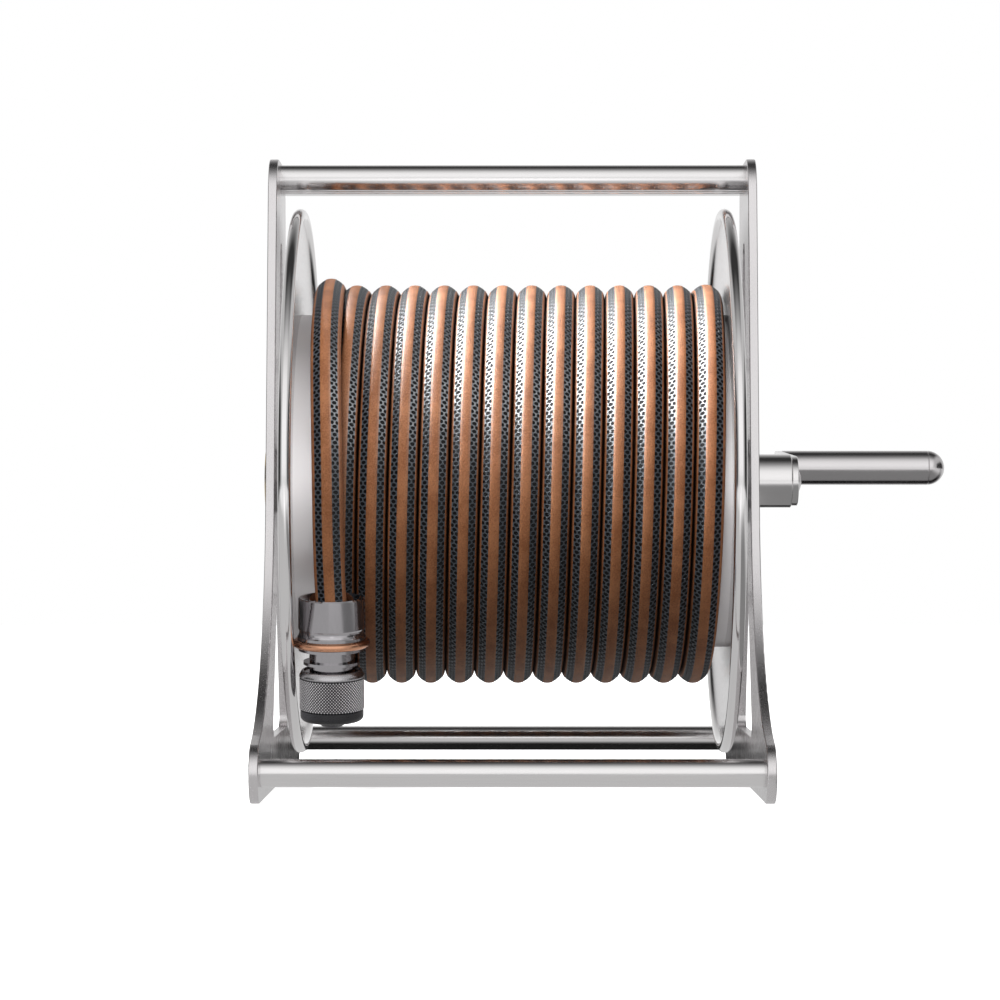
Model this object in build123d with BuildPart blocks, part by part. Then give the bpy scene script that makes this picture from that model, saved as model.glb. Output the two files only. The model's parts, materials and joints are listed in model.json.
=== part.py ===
from build123d import *
import os
from math import cos, degrees, pi, radians, sin, tan

# A crank hose reel that stands on two bottom rails.  All sizes are in millimetres.
# The origin is on the floor, midway between the two side plates and under the reel's axis.
# +Z is up, +X points to the crank and -Y is the front, where the hose comes off.

# ---------------------------------------------------------------- driving dimensions
axis_height = 186.0            # reel axis above the floor
hose_dia = 18.0                # outside diameter of the hose
drum_radius = 102.4
flange_radius = 167.6          # over the rolled rim

plate_inner = 143.1            # inner face of each side plate, from the middle
plate_thick = 5.5
plate_height = 383.0
shoulder_half = 37.2           # half depth of a plate at its top edge
shoulder_round = 22.0
waist = (60.0, 161.0)          # (half depth, height) where the flank starts to flare
toe = (162.0, 38.0)            # (half depth, height) where the flare meets the foot
flare_sagitta = 22.0
foot_half = 172.4              # half distance between the two bottom rails
foot_radius = 17.3
plate_edge = 0.7               # softened edge

hub_web_radius = 46.0          # solid disc of the plate around the hub
window_round = 7.0
upper_window = ((27.0, 30.0), (8.0, 147.0))      # (half width, height above the axis)
lower_window = ((20.0, -30.0), (67.0, -155.0))

rail_radius = 8.0
rail_wall = 1.5
top_rail_height = 373.4
bar_thick = 3.0
bar_low = 364.3
bar_front = 5.7
bar_back = 18.5

crank_radius = 125.0
crank_lift = 5.0               # degrees above the rearward horizontal
grip_radius = 11.15

# ---------------------------------------------------------------- fits and fasteners
running_fit = 0.06             # radial clearance of a shaft in its bush
seal_fit = 0.10
gap = 0.4                      # between faces that pass each other

rail_screw_radius = 3.0
rail_screw_head = 6.1
rail_screw_length = 17.0
plug_length = 20.0
socket_across = 4.0
socket_depth = 2.6
flange_screw_radius = 2.5
flange_screw_head = 4.2
flange_screw_head_high = 2.4
flange_screw_length = 8.4
hub_bolt_circle = 28.0
drum_bolt_circle = 85.0
bolts_per_circle = 6
housing_screw_radius = 2.0
housing_screw_head = 3.8
housing_bolt_circle = 21.5
housing_screws = 3

# ---------------------------------------------------------------- stations along the reel axis
plate_outer = plate_inner + plate_thick
flange_inner = 129.4
flange_thick = 2.0
flange_outer = flange_inner + flange_thick
rim_tube = 3.75                # radius of the rolled rim
rim_middle = 130.2
rim_ring = flange_radius - rim_tube
drum_end_thick = 3.0
drum_end_inner = flange_inner - drum_end_thick
hub_disc_thick = 3.0
hub_disc_inner = drum_end_inner - hub_disc_thick
hub_disc_radius = 34.0
hub_sleeve_radius = 22.0
shell_wall = 2.0

spigot_radius = 12.0           # fixed water spigot that the left hub turns on
shank_radius = 15.0
inlet_thread_radius = 9.3      # G1/2 tapping bore
inlet_thread_depth = 15.0
inlet_collar_radius = 22.0
inlet_collar_thick = 3.2
nut_across = 38.0
nut_thick = 5.0
spigot_end = 96.0
water_bore = 6.5
seal_groove = 2.1
seal_groove_wide = 2.6
seal_stations = (102.8, 99.2)
hub_left_outer = 135.0
hub_left_inner = 104.0
joint_end = 84.0
pipe_radius = 7.0
pipe_bore = 5.5
pipe_turn_x = 106.0
pipe_bend = 14.0
root_fitting_radius = 11.0
lead_turn = 75.0                # degrees behind the top, where the pipe climbs to the hose's inner end
lead_reach = 85.0
slot_turns = (57.0, 34.0, 10.0)
slot_start_x = 96.0
slot_end_x = 128.0

shaft_radius = 10.0
shaft_end = 171.4
housing_flange_radius = 26.0
housing_radius = 17.0
bush_right_radius = 13.0
boss_radius = 16.5
boss_start = plate_outer + gap
arm_inner = 171.9
arm_thick = 4.0
arm_outer = arm_inner + arm_thick
arm_eye_radius = 15.3
arm_tip_radius = 11.0
key_size = 5.0
key_length = 14.0
key_middle = 161.0
spindle_radius = 4.0
grip_inner = arm_outer + gap
cap_joint = 271.5
grip_wall = 2.15

# ---------------------------------------------------------------- the hose's free end
# The tail's route, down the front of the coil and into the coupling.
tail_route = [
    (-110.0, -101.5, 271.0),
    (-108.6, -124.0, 232.5),
    (-107.3, -132.4, 188.8),
    (-105.5, -124.7, 137.0),
    (-105.5, -118.3, 94.5),
]
hose_in_nut = 22.0             # how far the hose reaches into the coupling

coil_right = 128.8
coil_shoulder = -98.3          # the last turn lies in a step at the left end
coil_left = -109.5
coil_inner = drum_radius + 0.3
coil_outer = coil_inner + 20.0
step_outer = 121.1

reel_axis = Axis((0, 0, axis_height), (1, 0, 0))
crank_y = crank_radius * cos(radians(crank_lift))
crank_z = axis_height + crank_radius * sin(radians(crank_lift))
sides = {"left": -1, "right": 1}

os.makedirs("parts", exist_ok=True)


def save(builder, name):
    """Label a finished piece and write it to its own file."""
    builder.part.label = name
    export_step(builder.part, f"parts/{name}.step")


def ring(x_start, x_end, r_inner, r_outer):
    """Rectangle that turns into a ring about the reel axis, drawn in the XZ plane."""
    with Locations(((x_start + x_end) / 2, axis_height + (r_inner + r_outer) / 2)):
        Rectangle(abs(x_end - x_start), r_outer - r_inner)


def half_section(points):
    """Closed half section about the reel axis, from (x, radius) pairs."""
    with BuildLine() as outline:
        Polyline([(x, axis_height + r) for x, r in points], close=True)
    make_face(outline.edges())


def bolt_spots(radius, count, turn=0.0):
    """Places on a circle about the reel axis, for a sketch in a YZ plane."""
    step = 360 / count
    angles = [radians(turn + i * step) for i in range(count)]
    return [(radius * cos(a), axis_height + radius * sin(a)) for a in angles]


def rail_spots():
    """(y, z) of the three rails."""
    return [(0, top_rail_height), (-foot_half, foot_radius), (foot_half, foot_radius)]


# ================================================================ the frame
def window(points):
    """One window of a side plate, kept off the disc around the hub."""
    (half_a, rise_a), (half_b, rise_b) = points
    with BuildSketch(Plane.YZ.offset(-plate_outer - plate_thick)) as opening:
        with BuildLine():
            Polyline(
                (-half_a, axis_height + rise_a),
                (half_a, axis_height + rise_a),
                (half_b, axis_height + rise_b),
                (-half_b, axis_height + rise_b),
                close=True,
            )
        make_face()
        with Locations((0, axis_height)):
            Circle(hub_web_radius, mode=Mode.SUBTRACT)
        fillet(opening.vertices(), window_round)
    extrude(opening.sketch, amount=2 * (plate_outer + plate_thick), mode=Mode.SUBTRACT)


for side, sign in sides.items():
    with BuildPart() as side_plate:
        with BuildSketch(Plane.YZ.offset(sign * (plate_inner + plate_thick / 2))) as outline:
            with BuildLine():
                flank = Line((shoulder_half, plate_height), waist)
                flare = SagittaArc(flank @ 1, toe, -flare_sagitta)
                lobe_turn = radians(70.6)
                lobe_top = (foot_half + foot_radius * cos(lobe_turn), foot_radius * (1 + sin(lobe_turn)))
                instep = Line(flare @ 1, lobe_top)
                lobe = ThreePointArc(instep @ 1, (foot_half + foot_radius, foot_radius), (foot_half, 0))
                Line(lobe @ 1, (0, 0))
                Line((0, plate_height), flank @ 0)
                mirror(about=Plane.YZ)
            make_face()
            fillet(outline.vertices().group_by(Axis.Y)[-1].sort_by(Axis.X)[0], shoulder_round)
            fillet(outline.vertices().group_by(Axis.Y)[-1].sort_by(Axis.X)[-1], shoulder_round)
        extrude(amount=plate_thick / 2, both=True)
        fillet(side_plate.faces().filter_by(Axis.X).edges(), plate_edge)
        window(upper_window)
        window(lower_window)
        with Locations([Plane(origin=(sign * plate_outer, y, z), z_dir=(sign, 0, 0)) for y, z in rail_spots()]):
            CounterSinkHole(rail_screw_radius + 0.2, rail_screw_head + 0.1, counter_sink_angle=90)
        hub_hole = shank_radius if side == "left" else housing_radius
        with Locations(Plane(origin=(sign * plate_outer, 0, axis_height), z_dir=(sign, 0, 0))):
            Hole(hub_hole)
        if side == "right":
            with BuildSketch(Plane.YZ.offset(plate_inner)):
                with Locations(bolt_spots(housing_bolt_circle, housing_screws, turn=90)):
                    Circle(housing_screw_radius)
            extrude(amount=plate_thick - 1.5, mode=Mode.SUBTRACT)
    save(side_plate, f"side_plate_{side}")

for rail_name, spot in zip(("top_rail", "bottom_rail_front", "bottom_rail_rear"), rail_spots()):
    with BuildPart() as rail:
        with BuildSketch(Plane.YZ):
            with Locations(spot):
                Circle(rail_radius)
                Circle(rail_radius - rail_wall, mode=Mode.SUBTRACT)
        extrude(amount=plate_inner, both=True)
    save(rail, rail_name)

with BuildPart() as top_bar:
    with BuildSketch(Plane.YZ):
        with Locations(((bar_front + bar_back) / 2, bar_low + bar_thick / 2)):
            RectangleRounded(bar_back - bar_front, bar_thick, 0.6)
    extrude(amount=plate_inner, both=True)
save(top_bar, "top_bar")

with BuildPart() as rail_plugs:
    for sign in sides.values():
        with BuildSketch(Plane.YZ.offset(sign * plate_inner)):
            with Locations(rail_spots()):
                Circle(rail_radius - rail_wall)
                Circle(rail_screw_radius, mode=Mode.SUBTRACT)
        extrude(amount=-sign * plug_length)
save(rail_plugs, "rail_plugs")

with BuildPart() as rail_screws:
    for sign in sides.values():
        for y, z in rail_spots():
            with BuildSketch(Plane.XZ.offset(-y)):
                with BuildLine():
                    Polyline(
                        (sign * plate_outer, z),
                        (sign * plate_outer, z + rail_screw_head),
                        (sign * (plate_outer - rail_screw_head + rail_screw_radius), z + rail_screw_radius),
                        (sign * (plate_outer - rail_screw_length), z + rail_screw_radius),
                        (sign * (plate_outer - rail_screw_length), z),
                        close=True,
                    )
                make_face()
            revolve(axis=Axis((0, y, z), (1, 0, 0)))
        with BuildSketch(Plane.YZ.offset(sign * plate_outer)):
            with Locations(rail_spots()):
                RegularPolygon(socket_across / 2, 6, major_radius=False)
        extrude(amount=-sign * socket_depth, mode=Mode.SUBTRACT)
save(rail_screws, "rail_screws")

# ================================================================ water inlet, fixed to the left plate
with BuildPart() as inlet_fitting:
    with BuildSketch(Plane.XZ):
        half_section([
            (-plate_outer - inlet_collar_thick, inlet_thread_radius),
            (-plate_outer - inlet_collar_thick, inlet_collar_radius - 1),
            (-plate_outer - inlet_collar_thick + 1, inlet_collar_radius),
            (-plate_outer, inlet_collar_radius),
            (-plate_outer, shank_radius),
            (-plate_inner + nut_thick, shank_radius),
            (-plate_inner + nut_thick, spigot_radius),
            (-spigot_end, spigot_radius),
            (-spigot_end, water_bore),
            (-plate_outer - inlet_collar_thick + inlet_thread_depth, water_bore),
            (-plate_outer - inlet_collar_thick + inlet_thread_depth, inlet_thread_radius),
        ])
        for station in seal_stations:
            with Locations((-station, axis_height + spigot_radius)):
                Rectangle(seal_groove_wide, 2 * seal_groove, mode=Mode.SUBTRACT)
    revolve(axis=reel_axis)
save(inlet_fitting, "inlet_fitting")

with BuildPart() as inlet_nut:
    with BuildSketch(Plane.YZ.offset(-plate_inner)):
        with Locations((0, axis_height)):
            RegularPolygon(nut_across / 2, 6, major_radius=False)
            Circle(shank_radius, mode=Mode.SUBTRACT)
    extrude(amount=nut_thick)
save(inlet_nut, "inlet_nut")

with BuildPart() as thrust_washer_left:
    with BuildSketch(Plane.XZ):
        ring(-plate_inner + nut_thick, -hub_left_outer - gap, spigot_radius, hub_sleeve_radius - 2)
    revolve(axis=reel_axis)
save(thrust_washer_left, "thrust_washer_left")

with BuildPart() as inlet_seals:
    seal_tube = (seal_groove + spigot_radius + 0.3 - seal_fit - spigot_radius) / 2
    seal_ring = spigot_radius - seal_groove + seal_tube
    with BuildSketch(Plane.XZ):
        with Locations([(-station, axis_height + seal_ring) for station in seal_stations]):
            Circle(seal_tube)
    revolve(axis=reel_axis)
save(inlet_seals, "inlet_seals")

# ================================================================ right bearing, fixed to the right plate
housing_inner = plate_inner - 5.5
with BuildPart() as bearing_housing:
    with BuildSketch(Plane.XZ):
        half_section([
            (housing_inner, bush_right_radius),
            (housing_inner, housing_radius),
            (plate_inner - 3.5, housing_radius),
            (plate_inner - 3.5, housing_flange_radius),
            (plate_inner, housing_flange_radius),
            (plate_inner, housing_radius),
            (plate_outer - 0.3, housing_radius),
            (plate_outer - 0.3, bush_right_radius),
        ])
    revolve(axis=reel_axis)
    with BuildSketch(Plane.YZ.offset(plate_inner - 3.5)):
        with Locations(bolt_spots(housing_bolt_circle, housing_screws, turn=90)):
            Circle(housing_screw_radius)
    extrude(amount=3.5, mode=Mode.SUBTRACT)
save(bearing_housing, "bearing_housing")

with BuildPart() as housing_bolts:
    with BuildSketch(Plane.YZ.offset(plate_inner - 3.5)):
        with Locations(bolt_spots(housing_bolt_circle, housing_screws, turn=90)):
            Circle(housing_screw_head)
    extrude(amount=-2.2)
    with BuildSketch(Plane.YZ.offset(plate_inner - 3.5)):
        with Locations(bolt_spots(housing_bolt_circle, housing_screws, turn=90)):
            Circle(housing_screw_radius)
    extrude(amount=3.5 + plate_thick - 2)
save(housing_bolts, "housing_bolts")

with BuildPart() as bush_right:
    with BuildSketch(Plane.XZ):
        ring(housing_inner, plate_outer - 0.3, shaft_radius + running_fit, bush_right_radius)
    revolve(axis=reel_axis)
save(bush_right, "bush_right")

# ================================================================ the reel: drum, flanges and hubs
def round_drum(turn, radius):
    """Y and Z of a place behind the top of the reel by turn degrees."""
    return (radius * sin(radians(turn)), axis_height + radius * cos(radians(turn)))


with BuildPart() as drum_shell:
    with BuildSketch(Plane.XZ):
        ring(-flange_inner, flange_inner, drum_radius - shell_wall, drum_radius)
    revolve(axis=reel_axis)
    # The slot that the hose's inner end climbs out through.
    with BuildSketch(Plane.YZ.offset(slot_start_x)):
        with BuildLine():
            Polyline((0, axis_height), *[round_drum(turn, 1.3 * drum_radius) for turn in slot_turns], close=True)
        make_face()
    extrude(amount=slot_end_x - slot_start_x, mode=Mode.SUBTRACT)
save(drum_shell, "drum_shell")


def bolt_holes(x_start, depth, circles):
    """Clear the flange screws' holes through a disc."""
    with BuildSketch(Plane.YZ.offset(x_start)) as holes:
        for circle in circles:
            with Locations(bolt_spots(circle, bolts_per_circle)):
                Circle(flange_screw_radius)
    extrude(holes.sketch, amount=depth, mode=Mode.SUBTRACT)


for side, sign in sides.items():
    with BuildPart() as flange:
        with BuildSketch(Plane.XZ):
            ring(sign * flange_inner, sign * flange_outer, hub_sleeve_radius, rim_ring + 0.6)
        revolve(axis=reel_axis)
        bolt_holes(sign * flange_inner, sign * flange_thick, (hub_bolt_circle, drum_bolt_circle))
    save(flange, f"flange_{side}")

    with BuildPart() as flange_rim:
        with BuildSketch(Plane.XZ):
            with Locations((sign * rim_middle, axis_height + rim_ring)):
                Circle(rim_tube)
            with Locations((sign * (flange_inner + flange_thick / 2), axis_height + rim_ring - rim_tube)):
                Rectangle(flange_thick, 2 * (rim_tube + 0.6), mode=Mode.SUBTRACT)
        revolve(axis=reel_axis)
    save(flange_rim, f"flange_rim_{side}")

    with BuildPart() as drum_end:
        with BuildSketch(Plane.XZ):
            ring(sign * drum_end_inner, sign * flange_inner, hub_sleeve_radius, drum_radius - shell_wall)
        revolve(axis=reel_axis)
        bolt_holes(sign * drum_end_inner, sign * drum_end_thick, (hub_bolt_circle, drum_bolt_circle))
    save(drum_end, f"drum_end_{side}")

    with BuildPart() as flange_bolts:
        for circle in (hub_bolt_circle, drum_bolt_circle):
            with BuildSketch(Plane.YZ.offset(sign * flange_outer)):
                with Locations(bolt_spots(circle, bolts_per_circle)):
                    Circle(flange_screw_head)
            extrude(amount=sign * flange_screw_head_high)
            with BuildSketch(Plane.YZ.offset(sign * flange_outer)):
                with Locations(bolt_spots(circle, bolts_per_circle)):
                    Circle(flange_screw_radius)
            extrude(amount=-sign * flange_screw_length)
    save(flange_bolts, f"flange_bolts_{side}")

with BuildPart() as hub_left:
    with BuildSketch(Plane.XZ):
        ring(-drum_end_inner, -hub_disc_inner, shank_radius, hub_disc_radius)
        ring(-hub_left_outer, -hub_left_inner, shank_radius, hub_sleeve_radius)
    revolve(axis=reel_axis)
    bolt_holes(-drum_end_inner, hub_disc_thick, (hub_bolt_circle,))
save(hub_left, "hub_left")

with BuildPart() as bush_left:
    with BuildSketch(Plane.XZ):
        ring(-hub_left_outer + 0.5, -hub_left_inner - 2, spigot_radius + running_fit, shank_radius)
    revolve(axis=reel_axis)
save(bush_left, "bush_left")

joint_mouth = hub_left_inner
joint_step = 94.0
pipe_socket = 90.0
with BuildPart() as water_joint:
    with BuildSketch(Plane.XZ):
        half_section([
            (-joint_mouth, spigot_radius + 0.3),
            (-joint_mouth, hub_sleeve_radius),
            (-joint_step + 1, hub_sleeve_radius),
            (-joint_step + 1, pipe_radius + 6),
            (-joint_end, pipe_radius + 6),
            (-joint_end, pipe_radius),
            (-pipe_socket, pipe_radius),
            (-pipe_socket, pipe_bore),
            (-joint_step, pipe_bore),
            (-joint_step, spigot_radius + 0.3),
        ])
    revolve(axis=reel_axis)
save(water_joint, "water_joint")

lead_foot = Vector(pipe_turn_x, *round_drum(lead_turn, lead_reach))
lead_way = Vector(0, -cos(radians(lead_turn)), sin(radians(lead_turn)))
pipe_run = 20.0
root_socket = 8.0
root_long = 13.0
root_plane = Plane(origin=lead_foot + lead_way * (pipe_run - root_socket), x_dir=(1, 0, 0), z_dir=lead_way)
with BuildPart() as feed_pipe:
    with BuildLine() as feed_path:
        FilletPolyline(
            (-pipe_socket, 0, axis_height),
            (pipe_turn_x, 0, axis_height),
            lead_foot,
            lead_foot + lead_way * pipe_run,
            radius=pipe_bend,
        )
    with BuildSketch(Plane(origin=(-pipe_socket, 0, axis_height), z_dir=(1, 0, 0))):
        Circle(pipe_radius)
        Circle(pipe_bore, mode=Mode.SUBTRACT)
    sweep(path=feed_path.line)
save(feed_pipe, "feed_pipe")

with BuildPart() as root_fitting:
    with BuildSketch(root_plane.offset(2.5)):
        Circle(root_fitting_radius)
        Circle(pipe_radius, mode=Mode.SUBTRACT)
    extrude(amount=root_socket - 2.5)
    with BuildSketch(root_plane.offset(root_socket)):
        Circle(root_fitting_radius)
        Circle(pipe_bore, mode=Mode.SUBTRACT)
    extrude(amount=root_long - root_socket)
save(root_fitting, "root_fitting")

hub_right_inner = 118.0
with BuildPart() as hub_right:
    with BuildSketch(Plane.XZ):
        ring(hub_disc_inner, drum_end_inner, shaft_radius, hub_disc_radius)
        ring(hub_right_inner, flange_outer + 0.6, shaft_radius, hub_sleeve_radius)
    revolve(axis=reel_axis)
    bolt_holes(hub_disc_inner, hub_disc_thick, (hub_bolt_circle,))
save(hub_right, "hub_right")

with BuildPart() as thrust_washer_right:
    with BuildSketch(Plane.XZ):
        ring(flange_outer + 0.6, housing_inner - gap, shaft_radius, housing_radius)
    revolve(axis=reel_axis)
save(thrust_washer_right, "thrust_washer_right")

# ================================================================ shaft and crank
crank_screw_radius = 3.0
crank_screw_reach = 152.0


with BuildSketch(Plane.XY.offset(axis_height + shaft_radius - key_size / 2)) as key_seat:
    with Locations((key_middle, 0)):
        Rectangle(key_length, key_size)


with BuildPart() as reel_shaft:
    with BuildSketch(Plane.XZ):
        ring(hub_right_inner + 0.5, shaft_end, 0, shaft_radius)
    revolve(axis=reel_axis)
    extrude(key_seat.sketch, amount=key_size, mode=Mode.SUBTRACT)
    with BuildSketch(Plane.YZ.offset(crank_screw_reach - 2)):
        with Locations((0, axis_height)):
            Circle(crank_screw_radius)
    extrude(amount=shaft_end - crank_screw_reach + 2, mode=Mode.SUBTRACT)
save(reel_shaft, "reel_shaft")

with BuildPart() as crank_key:
    extrude(key_seat.sketch, amount=key_size)
save(crank_key, "crank_key")

with BuildPart() as crank_hub:
    with BuildSketch(Plane.XZ):
        ring(boss_start, arm_inner, shaft_radius, boss_radius)
    revolve(axis=reel_axis)
    fillet(crank_hub.edges().filter_by(GeomType.CIRCLE).group_by(Edge.length)[-1], 0.8)
    extrude(key_seat.sketch, amount=key_size, mode=Mode.SUBTRACT)
save(crank_hub, "crank_hub")

with BuildPart() as crank_arm:
    with BuildSketch(Plane.YZ.offset(arm_inner)) as arm_outline:
        with Locations((0, axis_height)):
            Circle(arm_eye_radius)
        with Locations((crank_y, crank_z)):
            Circle(arm_tip_radius)
        make_hull()
        with Locations((0, axis_height)):
            Circle(crank_screw_radius, mode=Mode.SUBTRACT)
        with Locations((crank_y, crank_z)):
            Circle(spindle_radius, mode=Mode.SUBTRACT)
    extrude(amount=arm_thick)
    outer_rim = crank_arm.faces().filter_by(Axis.X).edges().filter_by(lambda edge: edge.length > 30)
    fillet(outer_rim, 0.6)
save(crank_arm, "crank_arm")

with BuildPart() as crank_screw:
    with BuildSketch(Plane.XZ):
        with BuildLine():
            screw_low = Polyline(
                (arm_outer + 2.6, axis_height),
                (crank_screw_reach, axis_height),
                (crank_screw_reach, axis_height + crank_screw_radius),
                (arm_outer, axis_height + crank_screw_radius),
                (arm_outer, axis_height + 8),
            )
            ThreePointArc(screw_low @ 1, (arm_outer + 1.95, axis_height + 4.2), screw_low @ 0)
        make_face()
    revolve(axis=reel_axis)
    with BuildSketch(Plane.YZ.offset(arm_outer + 3)):
        with Locations((0, axis_height)):
            RegularPolygon(2.5, 6, major_radius=False)
    extrude(amount=-3, mode=Mode.SUBTRACT)
save(crank_screw, "crank_screw")

# ================================================================ the turning grip
grip_axis = Axis((0, crank_y, crank_z), (1, 0, 0))
grip_plane = Plane(origin=(0, crank_y, crank_z), x_dir=(1, 0, 0), z_dir=(0, -1, 0))
spindle_end = 262.0
spindle_nut_at = 256.0
grip_bush_stations = ((grip_inner, grip_inner + 12), (236.0, 248.0))
cap_plug_start = 264.0


def grip_ring(x_start, x_end, r_inner, r_outer):
    """Rectangle that turns into a ring about the grip's axis, drawn in the grip plane."""
    with Locations(((x_start + x_end) / 2, (r_inner + r_outer) / 2)):
        Rectangle(x_end - x_start, r_outer - r_inner)


with BuildPart() as grip_spindle:
    with BuildSketch(grip_plane):
        grip_ring(arm_inner - 2, arm_inner, 0, spindle_radius + 3)
        grip_ring(arm_inner, spindle_end, 0, spindle_radius)
    revolve(axis=grip_axis)
save(grip_spindle, "grip_spindle")

with BuildPart() as spindle_nut:
    with BuildSketch(Plane.YZ.offset(spindle_nut_at)):
        with Locations((crank_y, crank_z)):
            RegularPolygon(6.5, 6, major_radius=False)
            Circle(spindle_radius, mode=Mode.SUBTRACT)
    extrude(amount=spindle_end - spindle_nut_at - 1)
save(spindle_nut, "spindle_nut")

with BuildPart() as grip_bushes:
    with BuildSketch(grip_plane):
        for start, end in grip_bush_stations:
            grip_ring(start, end, spindle_radius + running_fit, grip_radius - grip_wall)
    revolve(axis=grip_axis)
save(grip_bushes, "grip_bushes")

with BuildPart() as grip_sleeve:
    with BuildSketch(grip_plane):
        grip_ring(grip_inner, cap_joint, grip_radius - grip_wall, grip_radius)
    revolve(axis=grip_axis)
    fillet(grip_sleeve.edges().filter_by(GeomType.CIRCLE).group_by(Edge.length)[-1], 0.4)
save(grip_sleeve, "grip_sleeve")

with BuildPart() as grip_cap:
    with BuildSketch(grip_plane):
        with BuildLine():
            dome = CenterArc((cap_joint, 0), grip_radius, 0, 88)
            Polyline(
                dome @ 1,
                (cap_joint, grip_radius - 0.4),
                (cap_joint, grip_radius - grip_wall),
                (cap_plug_start, grip_radius - grip_wall),
                (cap_plug_start, 0),
                dome @ 0,
            )
        make_face()
    revolve(axis=grip_axis)
save(grip_cap, "grip_cap")

# ================================================================ the hose
with BuildPart() as hose_coil:
    with BuildSketch(Plane.XZ):
        ring(coil_shoulder, coil_right, coil_inner, coil_outer)
        ring(coil_left, coil_shoulder, coil_inner, step_outer)
    revolve(axis=reel_axis)
save(hose_coil, "hose_coil")

route = [Vector(*point) for point in tail_route]
runs = [end - start for start, end in zip(route, route[1:])]
bends = []
for before, after in zip(runs, runs[1:]):
    half_turn = radians(before.get_angle(after)) / 2
    bends.append(0.45 * min(before.length, after.length) / tan(half_turn))
    print(f"tail turn {degrees(2 * half_turn):.1f} degrees, radius {bends[-1]:.0f} mm")

with BuildPart() as hose_tail:
    with BuildLine() as tail_path:
        FilletPolyline(*tail_route, radius=bends)
    with BuildSketch(Plane(origin=route[0], z_dir=runs[0])):
        Circle(hose_dia / 2)
    sweep(path=tail_path.line)
save(hose_tail, "hose_tail")
tail_length = sum(edge.length for edge in tail_path.edges())
tube_share = hose_tail.part.volume / (tail_length * pi * (hose_dia / 2) ** 2)
print(f"tail length {tail_length:.1f} mm, volume / (section x length) = {tube_share:.4f}")

# ================================================================ the coupling on the hose's end
# It is turned about the last run of the hose.  In its own section, the first number is the radius
# and the second is the distance down from the clamp nut's mouth.
down = runs[-1].normalized()
mouth = route[-1] - down * hose_in_nut
coupling_axis = Axis(mouth, down)
section_plane = Plane(origin=mouth, x_dir=(1, 0, 0), z_dir=Vector(1, 0, 0).cross(down))
across = Plane(origin=mouth, x_dir=(1, 0, 0), z_dir=down)

nut_long = 24.3
nut_bore = 14.4
body_head = 17.2
copper_wire = 2.4
copper_ring_radius = 20.1
flange_at = 29.3
groove_end = 42.8
sleeve_radius = 19.1
sleeve_end = 66.4
body_end = 72.9
nub_end = 76.4
nub_radius = 7.4
body_neck = 13.0
socket_radius = 8.8
web_top = 48.0
web_low = 56.0
stem_radius = 3.0
ball_radius = 1.5
ball_at = 64.0
ball_count = 6
spring_wire = 0.6
ball_turns = [radians(i * 360 / ball_count) for i in range(ball_count)]
ball_ways = [across.x_dir * cos(turn) + across.y_dir * sin(turn) for turn in ball_turns]


def turned(points):
    """Closed half section about the coupling's axis, from (radius, distance) pairs."""
    with BuildSketch(section_plane) as half:
        with BuildLine():
            Polyline(points, close=True)
        make_face()
    revolve(half.sketch, axis=coupling_axis)


with BuildPart() as clamp_nut:
    turned([
        (hose_dia / 2 + 0.3, 4.5),
        (12.5, 3.5),
        (17.6, 0.0),
        (18.6, 0.0),
        (19.25, 0.8),
        (19.4, nut_long - 6.2),
        (18.95, nut_long - 5.3),
        (18.85, nut_long - 4.3),
        (19.0, nut_long - 3.2),
        (19.4, nut_long - 2.2),
        (19.95, nut_long - 1.5),
        (19.95, nut_long),
        (nut_bore, nut_long),
        (nut_bore, 8.0),
        (hose_dia / 2 + 0.3, 8.0),
    ])
save(clamp_nut, "clamp_nut")

with BuildPart() as collet:
    turned([
        (hose_dia / 2, 8.5),
        (nut_bore - 0.8, 8.5),
        (nut_bore, 10.5),
        (nut_bore, 20.0),
        (hose_dia / 2, 20.0),
    ])
    with BuildSketch(across.offset(8.5)):
        with PolarLocations(hose_dia / 2 + 3, 6):
            Rectangle(8, 1.2)
    extrude(amount=8, mode=Mode.SUBTRACT)
save(collet, "collet")

with BuildPart() as copper_ring:
    with BuildSketch(section_plane):
        with Locations((copper_ring_radius, nut_long + copper_wire + 0.1)):
            Circle(copper_wire)
        with Locations((body_head + 0.7, nut_long + copper_wire + 0.1)):
            Rectangle(2.0, 2.4)
    revolve(axis=coupling_axis)
save(copper_ring, "copper_ring")

with BuildPart() as connector_body:
    turned([
        (8.6, hose_in_nut),
        (nut_bore, hose_in_nut),
        (nut_bore, nut_long),
        (body_head - 0.3, nut_long),
        (body_head - 0.3, flange_at),
        (19.35, flange_at),
        (19.35, flange_at + 1.7),
        (body_neck, flange_at + 1.7),
        (body_neck, 37.6),
        (16.5, 37.6),
        (16.5, 39.3),
        (body_neck, 39.3),
        (body_neck, 43.6),
        (16.0, 43.6),
        (16.0, 46.0),
        (body_neck, 46.0),
        (body_neck, body_end),
        (socket_radius, body_end),
        (socket_radius, web_low),
        (stem_radius + running_fit, web_low),
        (stem_radius + running_fit, web_top),
        (6.5, web_top),
        (6.5, 24.0),
        (8.6, 24.0),
    ])
    with BuildSketch(across.offset(web_top)):
        with PolarLocations(4.7, 5):
            Circle(1.1)
    extrude(amount=web_low - web_top, mode=Mode.SUBTRACT)
    for way in ball_ways:
        with BuildSketch(Plane(origin=mouth + down * ball_at, z_dir=way)):
            Circle(ball_radius + 0.1)
        extrude(amount=body_neck + 1, mode=Mode.SUBTRACT)
save(connector_body, "connector_body")

with BuildPart() as locking_balls:
    for way in ball_ways:
        with Locations(mouth + down * ball_at + way * (body_neck - ball_radius)):
            Sphere(ball_radius)
save(locking_balls, "locking_balls")

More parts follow.
